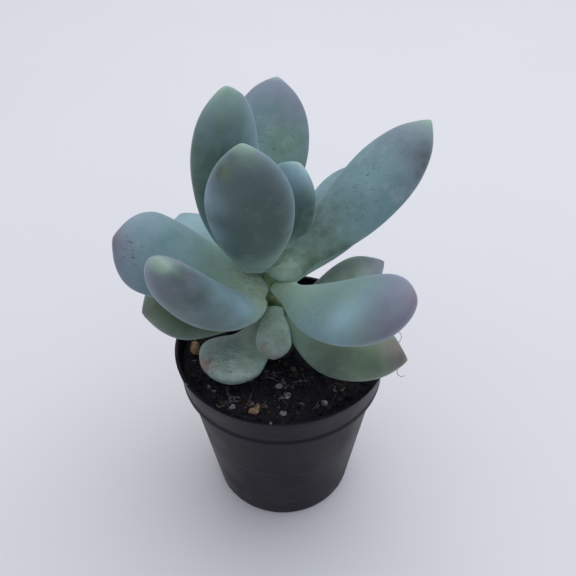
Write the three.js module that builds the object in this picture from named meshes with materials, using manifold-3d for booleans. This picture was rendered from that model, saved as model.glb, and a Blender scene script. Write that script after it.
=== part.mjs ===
// Potted Pachyphytum glutinicaule: a thick-leaved succulent in a small black nursery pot.
// Millimetres, +Z up, origin at the centre of the pot's underside. The side facing -Y is the
// front of the plant, +X is its right. Leaf angles count from +X, anticlockwise seen from above.

import * as THREE from "three";
import { mergeVertices } from "three/addons/utils/BufferGeometryUtils.js";
import Module from "manifold-3d";

const wasm = await Module();
wasm.setup();

// Driving dimensions of the pot
const POT_HEIGHT = 50;
const RIM_RADIUS = 27.5;
const BASE_RADIUS = 19.5;
const WALL = 1.0;
const COLLAR_HEIGHT = 9.3;
const COLLAR_STEP = 1.0;
const FLOOR = 1.2;
const EDGE_ROUND = 0.5;
const DRAIN_RADIUS = 1.8;
const DRAIN_CIRCLE = 11;
const DRAIN_COUNT = 4;

// Soil and what grows in it
const GAP = 0.3;
const SOIL_LEVEL = 45.6;
const SOIL_LUMP = 0.8;
const SOIL_SEED = 17;
const STEM_TIP = 83.2;
const STEM_LEAN = -1.2;
const ROOT_TIP = 33;

// Fineness of the facets
const ROUND_SIDES = 40;
const LEAF_SIDES = 12;
const LEAF_ROWS = 14;

// Derived sizes of the pot
const COLLAR_FOOT = POT_HEIGHT - COLLAR_HEIGHT;
const TAPER = (RIM_RADIUS - COLLAR_STEP - BASE_RADIUS) / POT_HEIGHT;
const BODY_TOP_RADIUS = BASE_RADIUS + TAPER * COLLAR_FOOT;
const COLLAR_FOOT_RADIUS = BODY_TOP_RADIUS + COLLAR_STEP;

const FINISH = {
  glaucous: new THREE.MeshStandardMaterial({ color: 0x74918f, roughness: 0.62, metalness: 0 }),
  glaucousGreen: new THREE.MeshStandardMaterial({ color: 0x6f8a74, roughness: 0.62, metalness: 0 }),
  stem: new THREE.MeshStandardMaterial({ color: 0x8ea584, roughness: 0.7, metalness: 0 }),
  soil: new THREE.MeshStandardMaterial({ color: 0x1d1819, roughness: 0.95, metalness: 0 }),
  pot: new THREE.MeshStandardMaterial({ color: 0x26242b, roughness: 0.5, metalness: 0 }),
  perlite: new THREE.MeshStandardMaterial({ color: 0xa5a3a6, roughness: 0.9, metalness: 0 }),
  gravel: new THREE.MeshStandardMaterial({ color: 0x8a6f56, roughness: 0.85, metalness: 0 }),
};

// The leaves. foot is where the leaf leaves the stem, azimuth and rise its direction there, curl
// how far it bends up by the tip, swing how far it turns sideways, twist its roll about its own
// length. broadest is where along the leaf it is widest; a small blunt gives a rounder end; neck is
// the share of the full breadth left at the foot, and a small fill gives a rounder base. root is how
// far above its foot the leaf meets the middle of the stem.
const LEAVES = [
  { name: "leaf_front_big", foot: [-4.7, -3.5, 77.6], azimuth: 268, rise: 61, length: 36.5, width: 17.5,
    thick: 8.6, curl: 22, twist: 16, swing: -16, broadest: 0.56, blunt: 0.64, neck: 0.25, fill: 0.7,
    root: -2 },
  { name: "leaf_crown_left", foot: [-6, -0.6, 75.5], azimuth: 158, rise: 67, length: 41.5, width: 20.5,
    thick: 8, curl: 35, twist: -1, swing: -23, broadest: 0.49, blunt: 0.54, neck: 0.4, fill: 1.1,
    root: -1 },
  { name: "leaf_crown_back", foot: [-1.3, 3.5, 78], azimuth: 99, rise: 46, length: 39.8, width: 18.8,
    thick: 8, curl: 0, twist: 15, swing: -24, broadest: 0.62, blunt: 0.61, neck: 0.3, fill: 1.35,
    root: -1 },
  { name: "leaf_crown_young", foot: [0, -0.4, 81], azimuth: 4, rise: 83.5, length: 20, width: 14.8,
    thick: 6.5, curl: -11, twist: 45, swing: -1, broadest: 0.49, blunt: 0.62, neck: 0.39, fill: 1.35,
    root: -1 },
  { name: "leaf_bud", foot: [1.6, 2.4, 79], azimuth: 50, rise: 62, length: 8, width: 4.2,
    thick: 3.4, curl: 6, twist: 0, swing: 0, broadest: 0.5, blunt: 0.7, neck: 0.35, fill: 1.35,
    root: -1 },
  { name: "leaf_right_long", foot: [3, 0, 73.2], azimuth: 25, rise: 37, length: 45.5, width: 16.5,
    thick: 9, curl: 2, twist: 22, swing: 7, broadest: 0.59, blunt: 0.64, neck: 0.42, fill: 1.2,
    root: -1 },
  { name: "leaf_right_behind", foot: [2, 2.5, 69], azimuth: 48, rise: 16, length: 36, width: 18,
    thick: 9, curl: 23, twist: 9, swing: 0, broadest: 0.66, blunt: 0.6, neck: 0.3, fill: 1.35,
    root: -1 },
  { name: "leaf_left_curled", foot: [-7.3, -5.4, 66.2], azimuth: 232, rise: 31, length: 33.8, width: 19.5,
    thick: 10.6, curl: 35, twist: 13, swing: -21, broadest: 0.54, blunt: 0.48, neck: 0.42, fill: 0.8,
    root: 2 },
  { name: "leaf_left_big", foot: [-6.4, -1.6, 66.1], azimuth: 181, rise: 33.5, length: 35.5, width: 19.5,
    thick: 8.3, curl: 0, twist: -34, swing: 8, broadest: 0.75, blunt: 0.64, neck: 0.5, fill: 1.2,
    root: -1 },
  { name: "leaf_left_behind", foot: [-1.8, 2, 72.3], azimuth: 135, rise: -14, length: 38, width: 19.3,
    thick: 8, curl: 18, twist: 15, swing: -7, broadest: 0.59, blunt: 0.6, neck: 0.4, fill: 1.35,
    root: -1 },
  { name: "leaf_left_low", foot: [-3.6, 0.6, 61.8], azimuth: 187, rise: 15, length: 29.8, width: 20,
    thick: 8, curl: -10, twist: -12, swing: 18, broadest: 0.66, blunt: 0.59, neck: 0.5, fill: 1.35,
    root: -1 },
  { name: "leaf_soil_left", foot: [-3.5, -3.5, 52], azimuth: 208, rise: -10, length: 17.8, width: 18,
    thick: 7.5, curl: 32, twist: 7, swing: -4, broadest: 0.61, blunt: 0.56, neck: 0.6, fill: 1.1,
    root: -1 },
  { name: "leaf_front_stub", foot: [-1.8, -2, 63.3], azimuth: 269, rise: -30, length: 13, width: 8.4,
    thick: 8, curl: 8, twist: -2, swing: 2, broadest: 0.72, blunt: 0.64, neck: 0.5, fill: 1.35,
    root: -1 },
  { name: "leaf_right_front", foot: [-0.6, -3.1, 70.8], azimuth: 301, rise: 7, length: 39.3, width: 18.2,
    thick: 8.4, curl: 33, twist: 16, swing: 35, broadest: 0.69, blunt: 0.57, neck: 0.24, fill: 1.3,
    root: -1 },
  { name: "leaf_right_mid", foot: [4, 0.8, 58.9], azimuth: 26, rise: 18, length: 24.5, width: 12.8,
    thick: 9, curl: 2, twist: 4, swing: -8, broadest: 0.68, blunt: 0.68, neck: 0.32, fill: 1.35,
    root: -1 },
  { name: "leaf_right_rim", foot: [3, -2.7, 59.3], azimuth: 321, rise: 0, length: 29, width: 18.9,
    thick: 9.8, curl: -3, twist: 17, swing: 22, broadest: 0.47, blunt: 0.72, neck: 0.42, fill: 1.35,
    root: -1 },
  { name: "leaf_back_low", foot: [-1, 3, 61], azimuth: 112, rise: -6, length: 27, width: 16,
    thick: 9, curl: 10, twist: 0, swing: 0, broadest: 0.62, blunt: 0.6, neck: 0.3, fill: 1.35,
    root: -1 },
  { name: "leaf_back_mid", foot: [0.5, 3.2, 66.5], azimuth: 80, rise: 0, length: 27, width: 15,
    thick: 7, curl: 8, twist: 0, swing: 0, broadest: 0.62, blunt: 0.6, neck: 0.3, fill: 1.35,
    root: -1 },
];

// Leaf section: the neck keeps more of the leaf's thickness than of its breadth, a share of the neck
// is left where it joins the stem, and the thickness is split between the flatter upper face and the
// fuller lower face.
const NECK_FULLNESS = 1.5;
const SCAR_SHARE = 0.6;
const UPPER_SHARE = 0.82;
const LOWER_SHARE = 1.18;
const EDGE_SHARPNESS = 1.12;

// Loose grains on the soil: place, half sizes and turn
const GRAINS = [
  { name: "gravel_wall", at: [-22.6, 0.6], half: [1.6, 2.5, 1.9], turn: 10, finish: "gravel" },
  { name: "gravel_front", at: [-6.6, -19.8], half: [1.7, 1.2, 1.1], turn: 25, finish: "gravel" },
  { name: "perlite_front_left", at: [-12.1, -18.6], half: [0.9, 0.75, 0.7], turn: 40, finish: "perlite" },
  { name: "perlite_right", at: [10, -18], half: [1.0, 0.8, 0.75], turn: 0, finish: "perlite" },
  { name: "perlite_middle", at: [-0.8, -12.2], half: [0.8, 1.1, 0.7], turn: 60, finish: "perlite" },
  { name: "perlite_centre", at: [1.2, -15.8], half: [1.1, 0.8, 0.7], turn: 15, finish: "perlite" },
  { name: "perlite_front", at: [0.1, -21.2], half: [0.75, 0.85, 0.6], turn: 80, finish: "perlite" },
  { name: "perlite_back", at: [-9, 14], half: [1.0, 0.8, 0.75], turn: 30, finish: "perlite" },
];

function seededRandom(seed) {
  let state = seed;
  return () => {
    state = (state + 0x6d2b79f5) | 0;
    let mixed = Math.imul(state ^ (state >>> 15), 1 | state);
    mixed = (mixed + Math.imul(mixed ^ (mixed >>> 7), 61 | mixed)) ^ mixed;
    return ((mixed ^ (mixed >>> 14)) >>> 0) / 4294967296;
  };
}

function closedGeometry(geometry) {
  const plain = geometry.clone();
  plain.deleteAttribute("normal");
  plain.deleteAttribute("uv");
  return mergeVertices(plain, 1e-4);
}

// A solid from a closed three.js geometry, turned outside out if it came inside out
function solidOf(geometry) {
  const merged = closedGeometry(geometry);
  const corners = Float32Array.from(merged.attributes.position.array);
  const faces = Uint32Array.from(merged.index.array);
  const solid = new wasm.Manifold(new wasm.Mesh({ numProp: 3, vertProperties: corners, triVerts: faces }));
  if (solid.volume() > 0) return solid;
  for (let i = 0; i < faces.length; i += 3) {
    [faces[i], faces[i + 1]] = [faces[i + 1], faces[i]];
  }
  return new wasm.Manifold(new wasm.Mesh({ numProp: 3, vertProperties: corners, triVerts: faces }));
}

function geometryOf(solid) {
  const mesh = solid.getMesh();
  const geometry = new THREE.BufferGeometry();
  geometry.setAttribute("position", new THREE.Float32BufferAttribute(mesh.vertProperties, 3));
  geometry.setIndex(Array.from(mesh.triVerts));
  geometry.computeVertexNormals();
  return geometry;
}

function namedMesh(name, solid, material) {
  const mesh = new THREE.Mesh(geometryOf(solid), material);
  mesh.name = name;
  return mesh;
}

// A body of revolution about Z from a profile of [radius, height] pairs
function turned(profile, sides = ROUND_SIDES) {
  const points = profile.map(([radius, height]) => new THREE.Vector2(radius, height));
  return new THREE.LatheGeometry(points, sides).rotateX(Math.PI / 2);
}

function moveEachVertex(geometry, move) {
  const position = geometry.attributes.position;
  const point = new THREE.Vector3();
  for (let i = 0; i < position.count; i += 1) {
    point.fromBufferAttribute(position, i);
    move(point, i);
    position.setXYZ(i, point.x, point.y, point.z);
  }
  return geometry;
}

function innerRadius(height) {
  const onCollar = height > COLLAR_FOOT;
  return BASE_RADIUS + TAPER * height + (onCollar ? COLLAR_STEP : 0) - WALL;
}

function makePot() {
  const shell = solidOf(turned([
    [0, 0],
    [BASE_RADIUS - EDGE_ROUND, 0],
    [BASE_RADIUS, EDGE_ROUND],
    [BODY_TOP_RADIUS, COLLAR_FOOT],
    [COLLAR_FOOT_RADIUS, COLLAR_FOOT],
    [RIM_RADIUS, POT_HEIGHT - EDGE_ROUND / 2],
    [RIM_RADIUS - EDGE_ROUND / 2, POT_HEIGHT],
    [RIM_RADIUS - WALL, POT_HEIGHT],
    [innerRadius(COLLAR_FOOT + WALL), COLLAR_FOOT + WALL],
    [innerRadius(COLLAR_FOOT - WALL), COLLAR_FOOT - WALL],
    [innerRadius(FLOOR), FLOOR],
    [0, FLOOR],
  ]));
  let pot = shell;
  for (let i = 0; i < DRAIN_COUNT; i += 1) {
    const angle = ((i + 0.5) / DRAIN_COUNT) * 2 * Math.PI;
    const drill = new THREE.CylinderGeometry(DRAIN_RADIUS, DRAIN_RADIUS, 4 * FLOOR, 16)
      .rotateX(Math.PI / 2)
      .translate(DRAIN_CIRCLE * Math.cos(angle), DRAIN_CIRCLE * Math.sin(angle), FLOOR / 2);
    pot = pot.subtract(solidOf(drill));
  }
  return pot;
}

// Height of the lumpy soil surface: a few crossing waves and seeded crumbs
const soilRandom = seededRandom(SOIL_SEED);
const CRUMBS = Array.from({ length: 46 }, () => {
  const radius = 23.5 * Math.sqrt(soilRandom());
  const angle = 2 * Math.PI * soilRandom();
  return {
    x: radius * Math.cos(angle),
    y: radius * Math.sin(angle),
    spread: 1.4 + 1.6 * soilRandom(),
    height: SOIL_LUMP * (0.5 + 0.8 * soilRandom()) * (soilRandom() < 0.35 ? -0.7 : 1),
  };
});

function soilHeight(x, y) {
  let height = SOIL_LEVEL + 0.25 * Math.sin(0.31 * x + 1) * Math.cos(0.27 * y);
  for (const crumb of CRUMBS) {
    const away = ((x - crumb.x) ** 2 + (y - crumb.y) ** 2) / crumb.spread ** 2;
    height += crumb.height * Math.exp(-away);
  }
  return Math.min(Math.max(height, SOIL_LEVEL - 1.2), SOIL_LEVEL + 1.6);
}

function makeSoil() {
  const topRadius = innerRadius(SOIL_LEVEL) - GAP;
  const rings = 12;
  const profile = [
    [0, FLOOR + GAP],
    [innerRadius(FLOOR) - GAP, FLOOR + GAP],
    [innerRadius(COLLAR_FOOT - WALL) - GAP, COLLAR_FOOT - WALL + GAP / 2],
    [innerRadius(COLLAR_FOOT + WALL) - GAP, COLLAR_FOOT + WALL + GAP / 2],
  ];
  for (let i = 0; i <= rings; i += 1) {
    profile.push([topRadius * (1 - i / rings), SOIL_LEVEL]);
  }
  const body = moveEachVertex(turned(profile), (point) => {
    if (point.z < SOIL_LEVEL - 0.01) return;
    const edge = Math.min(1, (topRadius - Math.hypot(point.x, point.y)) / 2);
    point.z += edge * (soilHeight(point.x, point.y) - SOIL_LEVEL);
  });
  return solidOf(body);
}

function stemRadius(height) {
  const climb = THREE.MathUtils.clamp((height - ROOT_TIP) / (STEM_TIP - ROOT_TIP), 0, 1);
  const root = THREE.MathUtils.smoothstep(climb, 0, 0.3);
  const crown = Math.sqrt(Math.max(0, 1 - THREE.MathUtils.clamp((climb - 0.82) / 0.18, 0, 1) ** 2));
  return (0.9 + 1.9 * root + 0.7 * climb) * crown;
}

function stemAxis(height) {
  const climb = THREE.MathUtils.smoothstep(height, SOIL_LEVEL, STEM_TIP);
  return new THREE.Vector3(STEM_LEAN * climb, 0, height);
}

// Raised scars of fallen leaves climb the stem, each a golden angle on from the last
const SCARS = Array.from({ length: 12 }, (unused, i) => ({
  height: 47.5 + 1.9 * i,
  angle: THREE.MathUtils.degToRad(137.5 * i + 20),
}));

function scarBump(height, angle) {
  let bump = 0;
  for (const scar of SCARS) {
    const turn = Math.atan2(Math.sin(angle - scar.angle), Math.cos(angle - scar.angle));
    const away = ((height - scar.height) / 1.1) ** 2 + (turn / 0.55) ** 2;
    bump += 0.35 * Math.exp(-away);
  }
  return bump;
}

function makeStem(grow) {
  const rows = 22;
  const profile = [[0, ROOT_TIP - grow]];
  for (let i = 0; i <= rows; i += 1) {
    const height = ROOT_TIP + (STEM_TIP - ROOT_TIP) * Math.sin((i / rows) * Math.PI / 2) ** 1.2;
    profile.push([i === rows ? 0 : stemRadius(height) + grow, i === rows ? STEM_TIP + grow : height]);
  }
  profile[1][1] = ROOT_TIP - grow;
  const body = moveEachVertex(turned(profile, 16), (point) => {
    const radius = Math.hypot(point.x, point.y);
    const angle = Math.atan2(point.y, point.x);
    const swell = radius > 0.01 ? 1 + scarBump(point.z, angle) / radius : 1;
    const axis = stemAxis(point.z);
    point.x = axis.x + point.x * swell;
    point.y = axis.y + point.y * swell;
  });
  return solidOf(body);
}

// Share of the leaf's length, below 0, over which it runs from its foot into the stem
function rootShare(leaf) {
  const axis = stemAxis(leaf.foot[2]);
  return -Math.hypot(leaf.foot[0] - axis.x, leaf.foot[1] - axis.y) / leaf.length;
}

// Position and frame of a leaf's centreline. Below 0 it runs back into the stem.
function leafCentreline(leaf) {
  const steps = 60;
  const root = stemAxis(leaf.foot[2] + leaf.root);
  const directionAt = (along) => {
    const up = THREE.MathUtils.degToRad(leaf.rise + leaf.curl * Math.max(along, 0));
    const round = THREE.MathUtils.degToRad(leaf.azimuth + leaf.swing * Math.max(along, 0));
    return new THREE.Vector3(Math.cos(up) * Math.cos(round), Math.cos(up) * Math.sin(round), Math.sin(up));
  };
  const places = [new THREE.Vector3(...leaf.foot)];
  for (let i = 1; i <= steps; i += 1) {
    const step = directionAt((i - 0.5) / steps).multiplyScalar(leaf.length / steps);
    places.push(places[i - 1].clone().add(step));
  }
  return (along) => {
    const direction = directionAt(along);
    const round = THREE.MathUtils.degToRad(leaf.azimuth + leaf.swing * Math.max(along, 0));
    const side = new THREE.Vector3(-Math.sin(round), Math.cos(round), 0);
    const up = direction.clone().cross(side);
    const twist = THREE.MathUtils.degToRad(leaf.twist);
    const across = side.clone().multiplyScalar(Math.cos(twist)).addScaledVector(up, Math.sin(twist));
    const above = up.clone().multiplyScalar(Math.cos(twist)).addScaledVector(side, -Math.sin(twist));
    if (along <= 0) {
      const back = places[0].clone().lerp(root, along / rootShare(leaf));
      return { centre: back, across, above };
    }
    const whole = Math.min(steps - 1, Math.floor(along * steps));
    const centre = places[whole].clone().lerp(places[whole + 1], along * steps - whole);
    return { centre, across, above };
  };
}

// Half width and half thickness along the leaf, from the neck through the broadest place to the tip
function leafHalfSizes(leaf, along) {
  const climb = THREE.MathUtils.clamp(along / leaf.broadest, 0, 1);
  const swell = Math.sin((climb * Math.PI) / 2) ** leaf.fill;
  const past = THREE.MathUtils.clamp((along - leaf.broadest) / (1 - leaf.broadest), 0, 1);
  const neckThick = Math.min(1, NECK_FULLNESS * leaf.neck);
  return {
    width: (leaf.width / 2) * (leaf.neck + (1 - leaf.neck) * swell) * (1 - past ** 2.2) ** leaf.blunt,
    thick: (leaf.thick / 2) * (neckThick + (1 - neckThick) * swell) * (1 - past ** 2.4) ** 0.5,
  };
}

// A leaf is a sphere's net of rows and sides drawn over the leaf's own surface
function makeLeaf(leaf, grow) {
  const centreline = leafCentreline(leaf);
  const start = rootShare(leaf);
  const net = new THREE.SphereGeometry(1, LEAF_SIDES, LEAF_ROWS);
  const uv = net.attributes.uv;
  const body = moveEachVertex(net, (point, i) => {
    const row = Math.round((1 - uv.getY(i)) * LEAF_ROWS);
    const angle = Math.round(uv.getX(i) * LEAF_SIDES) * ((2 * Math.PI) / LEAF_SIDES);
    const share = (row - 2) / (LEAF_ROWS - 2);
    const along = row < 2 ? start : 0.45 * share + 0.55 * Math.sin((share * Math.PI) / 2);
    const { centre, across, above } = centreline(along);
    const half = leafHalfSizes(leaf, along);
    const ends = row === 0 || row === LEAF_ROWS;
    const open = ends ? 0 : row === 1 ? SCAR_SHARE : 1;
    const lift = Math.sign(Math.sin(angle)) * Math.abs(Math.sin(angle)) ** EDGE_SHARPNESS;
    const fullness = lift > 0 ? UPPER_SHARE : LOWER_SHARE;
    point.copy(centre);
    point.addScaledVector(across, open * (half.width + grow) * Math.cos(angle));
    point.addScaledVector(above, open * (half.thick * fullness + grow) * lift);
  });
  return solidOf(body);
}

function makeGrain(grain, grow) {
  const random = seededRandom(Math.round(100 * Math.abs(grain.at[0] + grain.half[0])) + 3);
  const knobs = Array.from({ length: 7 }, () => ({
    way: new THREE.Vector3(random() - 0.5, random() - 0.5, random() - 0.5).normalize(),
    size: 0.22 * (random() - 0.45),
  }));
  const turn = THREE.MathUtils.degToRad(grain.turn);
  const body = moveEachVertex(new THREE.IcosahedronGeometry(1, 1), (point) => {
    let swell = 1;
    for (const knob of knobs) {
      swell += knob.size * Math.max(0, knob.way.dot(point)) ** 3;
    }
    point.multiplyScalar(swell);
    point.set(
      point.x * (grain.half[0] + grow),
      point.y * (grain.half[1] + grow),
      point.z * (grain.half[2] + grow),
    );
  });
  const sink = 0.3 * grain.half[2];
  body.rotateZ(turn);
  body.translate(grain.at[0], grain.at[1], soilHeight(...grain.at) + sink);
  return solidOf(body);
}

function boxesMeet(first, second) {
  const a = first.boundingBox();
  const b = second.boundingBox();
  return [0, 1, 2].every((axis) => a.min[axis] < b.max[axis] && b.min[axis] < a.max[axis]);
}

// Each leaf gives way to the stem and to the leaves listed before it
function makeLeaves(stemRoom) {
  const made = [];
  for (const leaf of LEAVES) {
    let solid = makeLeaf(leaf, 0).subtract(stemRoom);
    for (const earlier of made) {
      if (boxesMeet(earlier.room, solid)) solid = solid.subtract(earlier.room);
    }
    made.push({ leaf, solid, room: makeLeaf(leaf, GAP) });
  }
  return made.map(({ leaf, solid }) => {
    const green = leaf.foot[2] < 64;
    return namedMesh(leaf.name, solid, green ? FINISH.glaucousGreen : FINISH.glaucous);
  });
}

const plant = new THREE.Group();
const stemRoom = makeStem(GAP);
let soil = makeSoil().subtract(stemRoom);
for (const grain of GRAINS) {
  soil = soil.subtract(makeGrain(grain, GAP));
  plant.add(namedMesh(grain.name, makeGrain(grain, 0), FINISH[grain.finish]));
}
plant.add(namedMesh("soil", soil, FINISH.soil));
plant.add(namedMesh("stem", makeStem(0), FINISH.stem));
plant.add(...makeLeaves(stemRoom));

const model = new THREE.Group();
model.add(namedMesh("pot", makePot(), FINISH.pot));
model.add(plant);

export default model;
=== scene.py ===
from dataclasses import dataclass
from math import atan2, ceil, cos, exp, hypot, pi, radians, sin, sqrt

import bmesh
import bpy
import numpy as np
from mathutils import Matrix, Vector, noise


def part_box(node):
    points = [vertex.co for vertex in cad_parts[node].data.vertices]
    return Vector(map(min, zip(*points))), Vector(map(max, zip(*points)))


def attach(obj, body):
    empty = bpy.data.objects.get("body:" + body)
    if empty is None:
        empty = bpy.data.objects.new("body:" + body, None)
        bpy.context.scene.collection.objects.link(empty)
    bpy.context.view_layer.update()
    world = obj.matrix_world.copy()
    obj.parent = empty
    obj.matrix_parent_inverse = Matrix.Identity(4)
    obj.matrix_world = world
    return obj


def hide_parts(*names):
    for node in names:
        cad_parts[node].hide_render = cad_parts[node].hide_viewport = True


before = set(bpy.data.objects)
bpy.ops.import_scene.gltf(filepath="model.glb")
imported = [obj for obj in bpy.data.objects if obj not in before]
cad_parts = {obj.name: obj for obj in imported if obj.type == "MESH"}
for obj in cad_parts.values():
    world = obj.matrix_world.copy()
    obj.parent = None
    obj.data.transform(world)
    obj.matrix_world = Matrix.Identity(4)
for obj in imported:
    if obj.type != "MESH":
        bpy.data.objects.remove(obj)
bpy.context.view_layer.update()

# A potted Pachyphytum glutinicaule: its leaves, stem, soil and pot as fine surfaces over the frame's
# solids. The source's sizes are repeated here in millimetres, and MM turns them into metres.
MM = 0.001
BODY = "root"

# Sizes of the pot, from the frame where it tells them
pot_low, pot_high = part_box("pot")
POT_HEIGHT = (pot_high.z - pot_low.z) / MM
RIM_RADIUS = (pot_high.x - pot_low.x) / 2 / MM
BASE_RADIUS = 19.5
WALL = 1.0
COLLAR_HEIGHT = 9.3
COLLAR_STEP = 1.0
BEAD = 0.2
FLOOR = 1.2
DRAIN_RADIUS = 1.8
DRAIN_CIRCLE = 11
DRAIN_COUNT = 4

COLLAR_FOOT = POT_HEIGHT - COLLAR_HEIGHT
TAPER = (RIM_RADIUS - COLLAR_STEP - BASE_RADIUS) / POT_HEIGHT
BODY_TOP_RADIUS = BASE_RADIUS + TAPER * COLLAR_FOOT

# The soil and the stem. GAP is what the solids keep between neighbours.
GAP = 0.3
SOIL_LEVEL = 45.6
ROOT_TIP = 33
STEM_TIP = 83.2
STEM_LEAN = -1.2

# The photograph's camera: eye in millimetres, angles in degrees, focal length in pixels of its frame
EYE = (0.0, -115.5, 162.5)
YAW = 0.9
PITCH = 39.5
ROLL = -0.5
FOCAL_PIXELS = 620
FRAME_PIXELS = 576
SENSOR = 36

# How finely each surface is divided. ROOT_ROWS are the rings of a leaf that lie inside the stem.
LEAF_SIDES = 56
LEAF_ROWS = 96
ROOT_ROWS = 10
LINE_STEPS = 240
STEM_SIDES = 56
STEM_ROWS = 130
SOIL_SIDES = 150
SOIL_RINGS = 84
POT_SIDES = 144
POT_STRETCH = 1.6
DRAIN_SIDES = 32

# Leaf section, as in the solids: the neck keeps more of the thickness than of the breadth, and the
# upper face is flatter than the lower one
NECK_FULLNESS = 1.5
UPPER_SHARE = 0.82
LOWER_SHARE = 1.18
EDGE_SHARPNESS = 1.12

# What is left of the section at the leaf's end inside the stem, and how near the centreline the
# tip is drawn out to its small point
SCAR_SHARE = 0.45
TIP_REACH = 3.5

# Shares of a leaf's length: where the shift of its foot and its flare have faded out, and its waist
BASE_REACH = 0.4
FLARE_REACH = 0.16
WAIST_AT = 0.16
WAIST_REACH = 0.1

# The gentle unevenness of a leaf: how high it is, and how quickly it changes, per millimetre
UNEVEN_HEIGHT = 0.22
UNEVEN_SCALE = 0.11

# Leaves that leave the stem below this height are the older, greener ones
GREEN_BELOW = 64


@dataclass
class Leaf:
    """Where a leaf stands, how it grows, and how its colours run, in millimetres, degrees and shares.

    It sets out by azimuth and rise, curl and swing turn it upwards and sideways by the tip, and twist
    rolls it. broadest, blunt, neck and fill shape its outline, and point draws its tip out. root is
    how much higher than its foot it meets the stem's axis, and inward how far it runs there. base
    shifts its foot, flare broadens that, and draw_in narrows the left edge at the waist. purple,
    green, specks and under are strengths, and tip and tone name colours.
    """
    node: str
    foot: tuple
    azimuth: float
    rise: float
    length: float
    width: float
    thick: float
    curl: float
    twist: float
    swing: float
    broadest: float
    blunt: float
    neck: float
    point: float
    purple: float
    green: float
    specks: float
    tip: str = "pale"
    fill: float = 1.35
    root: float = -1
    tone: str = "blue"
    under: float = 1.0
    base: tuple = (0, 0, 0)
    flare: float = 0.0
    inward: float = 1.0
    draw_in: float = 0.0


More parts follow.
